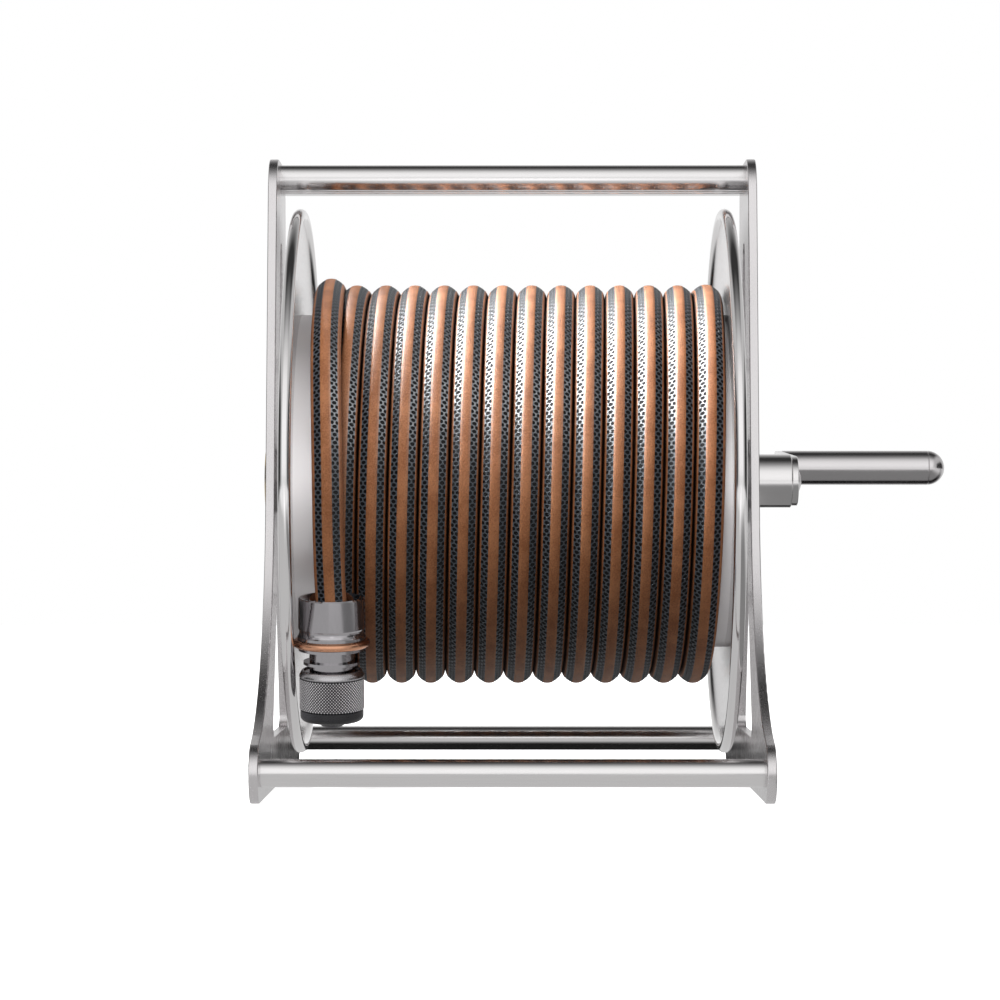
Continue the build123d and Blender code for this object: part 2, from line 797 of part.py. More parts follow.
with BuildPart() as release_sleeve:
    turned([
        (16.4, groove_end),
        (17.4, groove_end),
        (sleeve_radius, groove_end + 3.2),
        (sleeve_radius, 46.8),
        (sleeve_radius - 0.4, 47.2),
        (sleeve_radius - 0.4, sleeve_end),
        (body_neck + 0.1, sleeve_end),
        (body_neck + 0.1, 61.0),
        (16.4, 61.0),
    ])
save(release_sleeve, "release_sleeve")

with BuildPart() as end_ring:
    with BuildSketch(section_plane) as end_section:
        with BuildLine():
            Polyline(
                (body_neck + 0.4, sleeve_end),
                (18.5, sleeve_end),
                (18.5, body_end),
                (body_neck + 0.4, body_end),
                close=True,
            )
        make_face()
        fillet(end_section.vertices().sort_by(Axis.Y)[-2:].sort_by(Axis.X)[-1], 3.0)
    revolve(axis=coupling_axis)
save(end_ring, "end_ring")

with BuildPart() as valve_plunger:
    turned([
        (0, 43.0),
        (5.9, 43.0),
        (5.9, 45.4),
        (stem_radius, 45.4),
        (stem_radius, 62.0),
        (nub_radius, 62.0),
        (nub_radius, nub_end - 1.2),
        (nub_radius - 1.4, nub_end),
        (0, nub_end),
    ])
save(valve_plunger, "valve_plunger")

with BuildPart() as valve_seal:
    turned([
        (stem_radius, 45.4),
        (5.9, 45.4),
        (5.9, 47.7),
        (stem_radius, 47.7),
    ])
save(valve_seal, "valve_seal")


def coil_spring(start, end, mean_radius, coils):
    """Compression spring about the coupling's axis, between two distances from the mouth."""
    low = start + spring_wire
    high = end - spring_wire
    with BuildLine() as wire:
        Helix((high - low) / coils, high - low, mean_radius, center=mouth + down * low, direction=down)
    with BuildSketch(Plane(origin=wire.line @ 0, z_dir=wire.line % 0)) as wire_end:
        Circle(spring_wire)
    sweep(wire_end.sketch, path=wire.line)


with BuildPart() as sleeve_spring:
    coil_spring(46.2, 60.8, 14.7, 4)
save(sleeve_spring, "sleeve_spring")

with BuildPart() as valve_spring:
    coil_spring(web_low + 0.2, 61.8, 4.6, 2.5)
save(valve_spring, "valve_spring")

print(f"coupling mouth at {tuple(round(c, 2) for c in mouth)}, pointing {tuple(round(c, 4) for c in down)}")
print(f"grip axis at y {crank_y:.2f}, z {crank_z:.2f}")
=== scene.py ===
"""The looks of a crank hose reel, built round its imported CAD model. All sizes are in metres."""
import bpy
import bmesh
import json
from math import cos, pi, radians, sin
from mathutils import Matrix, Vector


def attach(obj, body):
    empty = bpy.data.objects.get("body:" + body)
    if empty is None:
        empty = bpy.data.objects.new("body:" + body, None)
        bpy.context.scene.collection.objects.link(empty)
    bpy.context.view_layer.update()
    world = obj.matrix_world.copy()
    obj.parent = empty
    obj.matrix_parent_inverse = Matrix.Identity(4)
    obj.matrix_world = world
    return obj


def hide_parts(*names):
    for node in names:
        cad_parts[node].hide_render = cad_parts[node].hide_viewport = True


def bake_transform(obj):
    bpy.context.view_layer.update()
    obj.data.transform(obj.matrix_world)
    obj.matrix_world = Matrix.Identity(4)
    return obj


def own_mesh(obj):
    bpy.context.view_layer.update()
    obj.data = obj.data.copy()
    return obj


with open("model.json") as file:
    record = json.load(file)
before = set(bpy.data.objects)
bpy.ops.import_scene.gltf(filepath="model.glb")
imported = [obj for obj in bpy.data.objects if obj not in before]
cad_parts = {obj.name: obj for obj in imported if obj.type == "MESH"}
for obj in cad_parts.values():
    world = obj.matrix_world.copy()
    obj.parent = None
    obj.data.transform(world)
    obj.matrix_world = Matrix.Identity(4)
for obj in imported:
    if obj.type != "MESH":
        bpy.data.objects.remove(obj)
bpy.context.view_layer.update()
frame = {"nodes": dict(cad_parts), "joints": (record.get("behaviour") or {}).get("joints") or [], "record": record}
scene = bpy.context.scene

# ---------------------------------------------------------------- places, from the frame
joints = {joint["name"]: joint for joint in frame["joints"]}
reel_centre = Vector(joints["reel_turn"]["pos_m"])
pull_up = Vector(joints["sleeve_pull"]["axis"]).normalized()
down = -pull_up

# ---------------------------------------------------------------- the hose's own sizes
HOSE_RADIUS = 0.009
HOSE_PITCH = 0.01793           # from each turn to the next
COIL_TURNS = 12.75             # from the top of the right-most turn to the back of the left-most
COIL_RADIUS = 0.1137           # centre line of the wound layer
COIL_SAG = 0.0020              # the loose turns hang this far below the reel's axis
FIRST_TOP_X = 0.1198           # the right-most turn, where it passes over the top
POINTS_PER_TURN = 16           # control points of the route
BACK = 270                     # degrees round the reel, from the top over the front to the back
LINE_RESOLUTION = 8            # points of the smooth line to each control point
STRIPES = 5
STRIPE_HALF = radians(19.7)    # half a stripe's width, round the hose
EDGE_SLOPE = radians(1.6)      # the step from a stripe down to a band
BAND_STEPS = 4                 # flat faces across each band
BAND_DEPTH = 0.00022           # the black bands lie this far below the stripes
PIT_PITCH = 0.00456            # from one pit to the next along its row
# The bands' pits: place across from the stripe's middle and half width, as shares of a stripe and its band,
# and half length as a share of their pitch. One row down the band's middle, one down each side.
MIDDLE_PIT = (0.500, 0.150, 0.225)
SIDE_PIT = (0.350, 0.105, 0.225)
# The stripes' colour by their mottling, the bands' colour, and the painted shade in the bands' pits.
COPPER = [(0.40, (0.34, 0.122, 0.047)), (0.60, (0.60, 0.252, 0.114))]
BAND_BLACK = (0.105, 0.120, 0.138, 1.0)
PIT_PAINTED_SHADE = (0.001, 0.001, 0.002, 1.0)
# Painted shade in the crevices between turns, and how near the next turn it reaches.
CREVICE_PAINTED_SHADE = (0.006, 0.003, 0.002, 1.0)
CREVICE_REACH = 0.006          # how near the next turn darkens the hose

# The inner end's route, from the fitting in the drum, through its slot and onto the first turn.
LEAD_ROUTE = [
    (0.1060, 0.0756, 0.2321),
    (0.1062, 0.0724, 0.2441),
    (0.1075, 0.0685, 0.2557),
    (0.1105, 0.0546, 0.2756),
    (0.1142, 0.0352, 0.2901),
    (0.1178, 0.0122, 0.2977),
    (0.1196, -0.0040, 0.2990),
]
# The last quarter turn up the back and over the top: radius and X of each step.
CLIMB = [(0.1141, -0.1101), (0.1147, -0.1109), (0.1157, -0.1114), (0.1171, -0.1113), (0.1200, -0.1108)]
# The tail's route, down the front of the coil and into the coupling.
TAIL_ROUTE = [
    (-0.1100, -0.1015, 0.2710),
    (-0.1086, -0.1240, 0.2325),
    (-0.1073, -0.1324, 0.1888),
    (-0.1071, -0.1277, 0.1520),
    (-0.1063, -0.1230, 0.1250),
    (-0.1055, -0.1209, 0.1120),
    (-0.1055, -0.1183, 0.0945),
]

# ---------------------------------------------------------------- camera
CAMERA_DISTANCE = 2.083        # in front of the reel's axis
CAMERA_BELOW_AXIS = 0.0383
CAMERA_PITCH = 0.73            # degrees up
CAMERA_YAW = 0.2125            # degrees to the left
CAMERA_LENS = 121.3


def make_camera():
    data = bpy.data.cameras.new("camera")
    data.lens = CAMERA_LENS
    data.sensor_width = 36.0
    camera = bpy.data.objects.new("camera", data)
    camera.location = (0.0, -CAMERA_DISTANCE, reel_centre.z - CAMERA_BELOW_AXIS)
    camera.rotation_euler = (radians(90 + CAMERA_PITCH), 0.0, radians(CAMERA_YAW))
    scene.collection.objects.link(camera)
    scene.camera = camera


make_camera()
scene.view_settings.view_transform = "Standard"


# ---------------------------------------------------------------- node helpers
class Nodes:
    """A short way to wire up a node tree."""

    def __init__(self, tree):
        self.tree = tree
        tree.nodes.clear()

    def add(self, kind, inputs=None, **settings):
        node = self.tree.nodes.new(kind)
        for key, value in settings.items():
            setattr(node, key, value)
        for key, value in (inputs or {}).items():
            if isinstance(value, bpy.types.NodeSocket):
                self.tree.links.new(value, node.inputs[key])
            else:
                node.inputs[key].default_value = value
        return node

    def math(self, operation, first, second=0.0):
        return self.add("ShaderNodeMath", {0: first, 1: second}, operation=operation).outputs[0]

    def ramp(self, factor, stops):
        node = self.add("ShaderNodeValToRGB", {0: factor})
        elements = node.color_ramp.elements
        while len(elements) < len(stops):
            elements.new(0.5)
        for element, (place, colour) in zip(elements, stops):
            element.position = place
            element.color = (*colour, 1.0)
        return node.outputs[0]

    def map_range(self, value, low, high, to_low=0.0, to_high=1.0, smooth=False):
        kind = "SMOOTHSTEP" if smooth else "LINEAR"
        inputs = {0: value, 1: low, 2: high, 3: to_low, 4: to_high}
        return self.add("ShaderNodeMapRange", inputs, interpolation_type=kind).outputs[0]

    def mix(self, factor, first, second):
        node = self.add("ShaderNodeMix", data_type="RGBA")
        for key, value in ((0, factor), (6, first), (7, second)):
            if isinstance(value, bpy.types.NodeSocket):
                self.tree.links.new(value, node.inputs[key])
            else:
                node.inputs[key].default_value = value
        return node.outputs[2]


def grey(value):
    return (value, value, value, 1.0)


def shader(name, metallic=0.0, **settings):
    """A new material with its shader wired to the output, and the helper to add more."""
    material = bpy.data.materials.new(name)
    material.use_nodes = True
    nodes = Nodes(material.node_tree)
    bsdf = nodes.add("ShaderNodeBsdfPrincipled")
    output = nodes.add("ShaderNodeOutputMaterial")
    nodes.tree.links.new(bsdf.outputs[0], output.inputs[0])
    bsdf.inputs["Metallic"].default_value = metallic
    for key, value in settings.items():
        bsdf.inputs[key.replace("_", " ")].default_value = value
    return material, nodes, bsdf


def link(nodes, output, bsdf, key):
    nodes.tree.links.new(output, bsdf.inputs[key])


def grained(nodes, bsdf, grain, colour, darker, lighter):
    """Let the base colour run with the grain, between a darker and a lighter share of it."""
    dark = tuple(channel * darker for channel in colour)
    light = tuple(min(1.0, channel * lighter) for channel in colour)
    link(nodes, nodes.mix(grain, (*dark, 1.0), (*light, 1.0)), bsdf, "Base Color")


def bumped(nodes, bsdf, height, depth, strength=0.5):
    """A bump of this depth by the height given."""
    bump = nodes.add("ShaderNodeBump", {"Height": height, "Distance": depth, "Strength": strength})
    link(nodes, bump.outputs[0], bsdf, "Normal")


def fine_noise(nodes, place):
    settings = {"Vector": place, "Scale": 1.0, "Detail": 3.0, "Roughness": 0.6}
    return nodes.add("ShaderNodeTexNoise", settings).outputs[0]


# ---------------------------------------------------------------- metal and rubber
def brushed_metal(name, colour, roughness, grain, spread=0.08, depth=0.00001, tint=0.05, metallic=1.0):
    """Metal with a fine grain, which runs along the axis where grain, the noise's scale, is smallest."""
    material, nodes, bsdf = shader(name, metallic=metallic)
    place = nodes.add("ShaderNodeTexCoord").outputs["Object"]
    mapped = nodes.add("ShaderNodeMapping", {0: place, "Scale": grain}).outputs[0]
    fine = fine_noise(nodes, mapped)
    cloud = nodes.add("ShaderNodeTexNoise", {"Vector": place, "Scale": 14.0, "Detail": 2.0})
    dull = nodes.map_range(fine, 0.3, 0.7, roughness - spread / 2, roughness + spread / 2)
    dull = nodes.math("ADD", dull, nodes.map_range(cloud.outputs[0], 0.3, 0.7, -0.03, 0.04))
    link(nodes, dull, bsdf, "Roughness")
    grained(nodes, bsdf, fine, colour, 1 - tint, 1 + tint)
    bumped(nodes, bsdf, fine, depth, 0.6)
    return material


def spun_metal(name, colour, roughness, rings=1500.0, spread=0.08, depth=0.00001, metallic=1.0):
    """Metal with a fine grain in rings about the reel's axis."""
    material, nodes, bsdf = shader(name, metallic=metallic)
    place = nodes.add("ShaderNodeTexCoord").outputs["Object"]
    centred = nodes.add("ShaderNodeVectorMath", {0: place, 1: reel_centre}, operation="SUBTRACT")
    parts = nodes.add("ShaderNodeSeparateXYZ", {0: centred.outputs[0]})
    backward = parts.outputs[1]
    upward = parts.outputs[2]
    flat = nodes.add("ShaderNodeCombineXYZ", {0: 0.0, 1: backward, 2: upward}).outputs[0]
    radius = nodes.add("ShaderNodeVectorMath", {0: flat}, operation="LENGTH").outputs["Value"]
    ring = nodes.math("MULTIPLY", radius, rings)
    turn = nodes.math("ARCTAN2", upward, backward)
    fine = fine_noise(nodes, nodes.add("ShaderNodeCombineXYZ", {0: ring, 1: turn, 2: 0.0}).outputs[0])
    dull = nodes.map_range(fine, 0.3, 0.7, roughness - spread / 2, roughness + spread / 2)
    link(nodes, dull, bsdf, "Roughness")
    grained(nodes, bsdf, fine, colour, 0.93, 1.06)
    bumped(nodes, bsdf, fine, depth)
    return material


def dull_solid(name, colour, roughness, grain=900.0, depth=0.00004):
    """Plastic or rubber with a fine speckle."""
    material, nodes, bsdf = shader(name)
    place = nodes.add("ShaderNodeTexCoord").outputs["Object"]
    fine = nodes.add("ShaderNodeTexNoise", {"Vector": place, "Scale": grain, "Detail": 2.0}).outputs[0]
    dull = nodes.map_range(fine, 0.3, 0.7, roughness - 0.06, roughness + 0.06)
    link(nodes, dull, bsdf, "Roughness")
    grained(nodes, bsdf, fine, colour, 0.8, 1.25)
    bumped(nodes, bsdf, fine, depth)
    return material


# ---------------------------------------------------------------- hose
def pit(nodes, row, off_stripe, offset, size):
    """1 inside each oval pit of one row along the hose, and 0 outside."""
    place, wide, long = size
    step = nodes.math("FRACT", nodes.math("ADD", row, offset))
    along = nodes.math("DIVIDE", nodes.math("SUBTRACT", step, 0.5), long)
    across = nodes.math("DIVIDE", nodes.math("SUBTRACT", off_stripe, place), wide)
    squared = nodes.math("ADD", nodes.math("POWER", along, 2.0), nodes.math("POWER", across, 2.0))
    return nodes.map_range(nodes.math("SQRT", squared), 0.80, 1.08, 1.0, 0.0, smooth=True)


def hose_material():
    """Copper stripes between black bands with rows of pits, by the hose's own UV map, with painted shade in the
    pits and in the crevices between turns.
    """
    material, nodes, bsdf = shader("hose", Specular_IOR_Level=0.28)
    uv = nodes.add("ShaderNodeUVMap", uv_map="hose").outputs[0]
    parts = nodes.add("ShaderNodeSeparateXYZ", {0: uv})
    around = nodes.math("MULTIPLY", parts.outputs[0], STRIPES)
    sector = nodes.math("FRACT", nodes.math("ADD", around, 0.5))
    off_stripe = nodes.math("ABSOLUTE", nodes.math("SUBTRACT", sector, 0.5))
    edge = STRIPE_HALF * STRIPES / (2 * pi)
    band = nodes.map_range(off_stripe, edge - 0.004, edge + 0.004, smooth=True)
    row = nodes.math("DIVIDE", parts.outputs[1], PIT_PITCH)
    middle = pit(nodes, row, off_stripe, 0.5, MIDDLE_PIT)
    sides = pit(nodes, row, off_stripe, 0.0, SIDE_PIT)
    dimple = nodes.math("MULTIPLY", nodes.math("MAXIMUM", middle, sides), band)
    place = nodes.add("ShaderNodeTexCoord").outputs["Object"]
    speckle = nodes.add("ShaderNodeTexNoise", {"Vector": place, "Scale": 1600.0, "Detail": 2.0}).outputs[0]
    cloud = nodes.add("ShaderNodeTexNoise", {"Vector": place, "Scale": 60.0, "Detail": 2.0}).outputs[0]
    mottled = nodes.math("ADD", nodes.math("MULTIPLY", speckle, 0.6), nodes.math("MULTIPLY", cloud, 0.4))
    # The pits get a near-black painted shade over the band's own colour.
    skin = nodes.mix(band, nodes.ramp(mottled, COPPER), nodes.mix(dimple, BAND_BLACK, PIT_PAINTED_SHADE))
    # Painted shade: the base colour goes near black where ambient occlusion finds the next turn close, in the
    # crevices between turns.
    crevice_occlusion = nodes.add("ShaderNodeAmbientOcclusion", {"Distance": CREVICE_REACH}, samples=8).outputs["AO"]
    unshaded_share = nodes.map_range(crevice_occlusion, 0.30, 0.72, smooth=True)
    link(nodes, nodes.mix(unshaded_share, CREVICE_PAINTED_SHADE, skin), bsdf, "Base Color")
    stripe_rough = nodes.map_range(speckle, 0.3, 0.7, 0.46, 0.60)
    band_rough = nodes.map_range(dimple, 0.0, 1.0, 0.38, 0.90)
    shine = nodes.add("ShaderNodeMix", {0: band, 2: stripe_rough, 3: band_rough}, data_type="FLOAT")
    link(nodes, shine.outputs[0], bsdf, "Roughness")
    height = nodes.math("MULTIPLY", dimple, -1.0)
    height = nodes.math("ADD", height, nodes.math("MULTIPLY", speckle, 0.10))
    bumped(nodes, bsdf, height, 0.0006, 1.0)
    return material


def spline_points(name, control, resolution):
    """Points along the smooth NURBS line of a route, in order."""
    data = bpy.data.curves.new(name, "CURVE")
    data.dimensions = "3D"
    data.resolution_u = resolution
    spline = data.splines.new("NURBS")
    spline.points.add(len(control) - 1)
    for point, place in zip(spline.points, control):
        point.co = (*place, 1.0)
    spline.order_u = 3
    spline.use_endpoint_u = True
    holder = bpy.data.objects.new(name, data)
    scene.collection.objects.link(holder)
    bpy.context.view_layer.update()
    line = bpy.data.meshes.new_from_object(holder)
    places = [vertex.co.copy() for vertex in line.vertices]
    bpy.data.objects.remove(holder)
    bpy.data.meshes.remove(line)
    return places


def outward_side(places, i):
    """Unit tangent and the side of the hose that faces away from the reel, at one point of its line."""
    before = places[max(i - 1, 0)]
    after = places[min(i + 1, len(places) - 1)]
    tangent = (after - before).normalized()
    return tangent, tangent.cross(Vector((1, 0, 0))).normalized()


def section_angles():
    """Angles round the hose's section, closer together at the edges of each stripe."""
    edge = STRIPE_HALF
    step = 2 * pi / STRIPES
    near = edge + EDGE_SLOPE
    far = step - edge - EDGE_SLOPE
    steps = [-edge, -edge / 2, 0.0, edge / 2, edge, near]
    steps += [near + (far - near) * k / BAND_STEPS for k in range(1, BAND_STEPS + 1)]
    return [stripe * step + angle for stripe in range(STRIPES) for angle in steps]


def on_stripe(angle):
    step = 2 * pi / STRIPES
    off = (angle + step / 2) % step - step / 2
    return abs(off) <= STRIPE_HALF + 1e-6


def add_piece(name, made):
    """A new object from a bmesh, which is freed."""
    mesh = bpy.data.meshes.new(name)
    made.to_mesh(mesh)
    made.free()
    piece = bpy.data.objects.new(name, mesh)
    scene.collection.objects.link(piece)
    return piece


def close_ends(made, rings):
    made.faces.new(rings[0])
    made.faces.new(list(reversed(rings[-1])))
    bmesh.ops.recalc_face_normals(made, faces=made.faces)


def hose_rings(made, places, first, last, angles):
    """The hose's section at each point of part of its line, with the stripes in relief."""
    radii = [HOSE_RADIUS if on_stripe(angle) else HOSE_RADIUS - BAND_DEPTH for angle in angles]
    rings = []
    for i in range(first, last + 1):
        tangent, outward = outward_side(places, i)
        side = tangent.cross(outward)
        ring = [places[i] + (outward * cos(a) + side * sin(a)) * r for a, r in zip(angles, radii)]
        rings.append([made.verts.new(corner) for corner in ring])
    return rings


def hose_mesh(name, places, first, last):
    """A tube along part of a line, with a UV map of the turn round it and the length along it."""
    angles = section_angles()
    count = len(angles)
    made = bmesh.new()
    layer = made.loops.layers.uv.new("hose")
    lengths = [0.0]
    for a, b in zip(places, places[1:]):
        lengths.append(lengths[-1] + (b - a).length)
    rings = hose_rings(made, places, first, last, angles)
    for i in range(len(rings) - 1):
        low = lengths[first + i]
        high = lengths[first + i + 1]
        for j in range(count):
            k = (j + 1) % count
            face = made.faces.new((rings[i][j], rings[i + 1][j], rings[i + 1][k], rings[i][k]))
            face.smooth = True
            near = angles[j] / (2 * pi)
            far = angles[k] / (2 * pi) + (0 if k else 1)
            corners = ((near, low), (near, high), (far, high), (far, low))
            for loop, corner in zip(face.loops, corners):
                loop[layer].uv = corner
    close_ends(made, rings)
    return add_piece(name, made)


def round_reel(turn, radius, x):
    """A place round the reel's axis. turn is in degrees, 0 at the top and 90 at the front."""
    angle = radians(turn)
    centre_z = reel_centre.z - COIL_SAG
    return (x, -radius * sin(angle), centre_z + radius * cos(angle))


def hose_route():
    """Control points of the whole hose: the lead out of the drum, the turns, the climb and the tail."""
    step = 360 / POINTS_PER_TURN
    widen = 1 / cos(radians(step / 2))
    route = list(LEAD_ROUTE)
    for i in range(1, int(COIL_TURNS * POINTS_PER_TURN) + 1):
        turn = i * step
        x = FIRST_TOP_X - HOSE_PITCH * turn / 360
        route.append(round_reel(turn, COIL_RADIUS * widen, x))
    for i, (radius, x) in enumerate(CLIMB, 1):
        route.append(round_reel(BACK + i * step, radius * widen, x))
    return route + TAIL_ROUTE


def nearest(places, spot):
    return min(range(len(places)), key=lambda i: (places[i] - Vector(spot)).length)


# The coil ends and the tail starts half a step past the back of the last turn.
whole_line = spline_points("hose_line", hose_route(), LINE_RESOLUTION)
half_step = 180 / POINTS_PER_TURN
seam_x = FIRST_TOP_X - HOSE_PITCH * (COIL_TURNS + half_step / 360)
seam = nearest(whole_line, round_reel(BACK + half_step, COIL_RADIUS, seam_x))


# ---------------------------------------------------------------- hose pieces
def make_hose():
    material = hose_material()
    coil = hose_mesh("hose_winding", whole_line, 0, seam)
    tail = hose_mesh("hose_tail_end", whole_line, seam, len(whole_line) - 1)
    for piece, slot_node in ((coil, "hose_coil"), (tail, "hose_tail")):
        piece.data.materials.append(material)
        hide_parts(slot_node)
    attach(coil, "reel")
    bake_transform(tail)


# ---------------------------------------------------------------- knurled release sleeve
# Distances are along the coupling's axis from the mouth of its clamp nut.
NUT_MOUTH = Vector((-0.1055, -0.12158, 0.11625))
SLEEVE_TOP = 0.0428
SLEEVE_SHOULDER = 0.0460
KNURL_TOP = 0.0473
KNURL_END = 0.0662
SLEEVE_END = 0.0664
SLEEVE_RADIUS = 0.0191
KNURL_ROOT = 0.01840
KNURL_TIP = 0.01900
KNURL_ROUND = 64               # diamonds round the sleeve
KNURL_LONG = 20                # half diamonds along it
SLEEVE_BORE = 0.0164
NECK_BORE = 0.0131
BORE_STEP = 0.0610
KNURL_HEIGHT = "knurl_height"  # the mesh attribute: 0 in a groove, 1 on a point
PLAIN_HEIGHT = 0.50            # and on the plain metal
# Painted shade in the knurl's grooves and painted highlight on its points: the steel's colour by the mesh's
# height, with a fine random grain.
KNURL_PAINTED_SHADE = [(0.0, (0.012, 0.012, 0.014)), (0.28, (0.17, 0.165, 0.17)), (0.75, (0.86, 0.84, 0.86))]
SHARP_EDGE = radians(50)
# The turned outline, as radius and distance: up the bore, over the top edge and down to the knurl.
SLEEVE_PROFILE = [
    (NECK_BORE, SLEEVE_END),
    (NECK_BORE, BORE_STEP),
    (SLEEVE_BORE, BORE_STEP),
    (SLEEVE_BORE, SLEEVE_TOP),
    (0.0172, SLEEVE_TOP),
    (0.0176, SLEEVE_TOP + 0.0003),
    (0.0187, SLEEVE_SHOULDER - 0.0010),
    (0.0190, SLEEVE_SHOULDER - 0.0003),
    (SLEEVE_RADIUS, SLEEVE_SHOULDER + 0.0003),
    (SLEEVE_RADIUS, 0.0466),
    (0.0190, 0.0468),
    (0.0186, 0.0471),
    (KNURL_ROOT, 0.0472),
]


def lathe_frame():
    side = Vector((1, 0, 0))
    return side, down.cross(side).normalized()


def on_axis(radius, distance, angle):
    side, forward = lathe_frame()
    return NUT_MOUTH + down * distance + (side * cos(angle) + forward * sin(angle)) * radius


def knurl_material():
    """Steel with a painted highlight on the knurl's points and painted shade in its grooves, by the mesh's own
    height.
    """
    material, nodes, bsdf = shader("knurl_steel", metallic=1.0)
    place = nodes.add("ShaderNodeTexCoord").outputs["Object"]
    fine = nodes.add("ShaderNodeTexNoise", {"Vector": place, "Scale": 1500.0, "Detail": 3.0}).outputs[0]
    height = nodes.add("ShaderNodeAttribute", attribute_name=KNURL_HEIGHT).outputs["Fac"]
    painted_shade_and_grain = nodes.math("ADD", height, nodes.map_range(fine, 0.3, 0.7, -0.01, 0.01))
    link(nodes, nodes.ramp(painted_shade_and_grain, KNURL_PAINTED_SHADE), bsdf, "Base Color")
    link(nodes, nodes.map_range(fine, 0.3, 0.7, 0.20, 0.30), bsdf, "Roughness")
    return material


def sleeve_rings(made, count):
    """The rings of points: first the turned outline, and then the knurl, high and low by turns."""
    height = made.verts.layers.float.new(KNURL_HEIGHT)
    turns = [2 * pi * j / count for j in range(count)]
    rings = [[made.verts.new(on_axis(r, t, turn)) for turn in turns] for r, t in SLEEVE_PROFILE]
    for vertex in made.verts:
        vertex[height] = PLAIN_HEIGHT
    for i in range(KNURL_LONG + 1):
        t = KNURL_TOP + (KNURL_END - KNURL_TOP) * i / KNURL_LONG
        ring = []
        for j, turn in enumerate(turns):
            high = (i + j) % 2 and 0 < i < KNURL_LONG
            vertex = made.verts.new(on_axis(KNURL_TIP if high else KNURL_ROOT, t, turn))
            vertex[height] = 1.0 if high else 0.0
            ring.append(vertex)
        rings.append(ring)
    return rings


def knurled_sleeve():
    """A turned sleeve with a diamond knurl cut into it, one small pyramid to each diamond."""
    made = bmesh.new()
    count = KNURL_ROUND * 2
    plain = len(SLEEVE_PROFILE)
    rings = sleeve_rings(made, count)
    for i, (upper, lower) in enumerate(zip(rings, rings[1:] + rings[:1])):
        for j in range(count):
            k = (j + 1) % count
            corners = (upper[j], lower[j], lower[k], upper[k])
            if plain <= i < len(rings) - 1:
                if (i - plain + j) % 2:
                    made.faces.new((corners[0], corners[1], corners[3]))
                    made.faces.new((corners[1], corners[2], corners[3]))
                else:
                    made.faces.new((corners[0], corners[1], corners[2]))
                    made.faces.new((corners[0], corners[2], corners[3]))
            else:
                face = made.faces.new(corners)
                face.smooth = i < plain - 1
    bmesh.ops.recalc_face_normals(made, faces=made.faces)
    for edge in made.edges:
        if len(edge.link_faces) == 2 and edge.calc_face_angle(0) > SHARP_EDGE:
            edge.smooth = False
    return add_piece("knurled_sleeve", made)


# ---------------------------------------------------------------- springs in the coupling
# Piece, CAD node, joint, start and end along the axis, mean radius, turns, and the length left at the limit.
SPRINGS = [
    ("release_spring", "sleeve_spring", "sleeve_pull", 0.0462, 0.0608, 0.0147, 4.0, 0.0116),
    ("stem_spring", "valve_spring", "plunger_push", 0.0562, 0.0618, 0.0046, 2.5, 0.0032),
]
SPRING_WIRE = 0.0006
SPRING_SIDES = 10
SPRING_STEPS = 36              # rings of the wire to each turn


def wire_spring(name, start, end, radius, turns):
    """A closed wire helix about the coupling's axis."""
    made = bmesh.new()
    low = start + SPRING_WIRE
    high = end - SPRING_WIRE
    count = int(turns * SPRING_STEPS)
    rings = []
    for i in range(count + 1):
        angle = 2 * pi * turns * i / count
        distance = low + (high - low) * i / count
        middle = on_axis(radius, distance, angle)
        outward = (middle - on_axis(0.0, distance, angle)).normalized()
        ring = []
        for j in range(SPRING_SIDES):
            turn = 2 * pi * j / SPRING_SIDES
            ring.append(made.verts.new(middle + (outward * cos(turn) + down * sin(turn)) * SPRING_WIRE))
        rings.append(ring)
    for before, after in zip(rings, rings[1:]):
        for j in range(SPRING_SIDES):
            k = (j + 1) % SPRING_SIDES
            made.faces.new((before[j], after[j], after[k], before[k])).smooth = True
    close_ends(made, rings)
    return add_piece(name, made)


def make_springs():
    """The two springs, each a wire helix fixed to the frame in place of its CAD node."""
    for name, node, joint, start, end, radius, turns, pressed in SPRINGS:
        piece = wire_spring(name, start, end, radius, turns)
        piece.data.materials.append(metals["spring"])
        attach(piece, "frame")
        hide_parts(node)
        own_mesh(piece)


# ---------------------------------------------------------------- metals, one for each slot
STEEL = (0.66, 0.64, 0.645)
BRIGHT = (0.76, 0.745, 0.745)
# The grain's scale along X, Y and Z.
ALONG_X = (40.0, 1800.0, 1800.0)
ALONG_Z = (1500.0, 1500.0, 60.0)
DRAWN = (900.0, 900.0, 90.0)
COARSE = (500.0, 500.0, 500.0)
MEDIUM = (700.0, 700.0, 700.0)
FINE = (900.0, 900.0, 900.0)

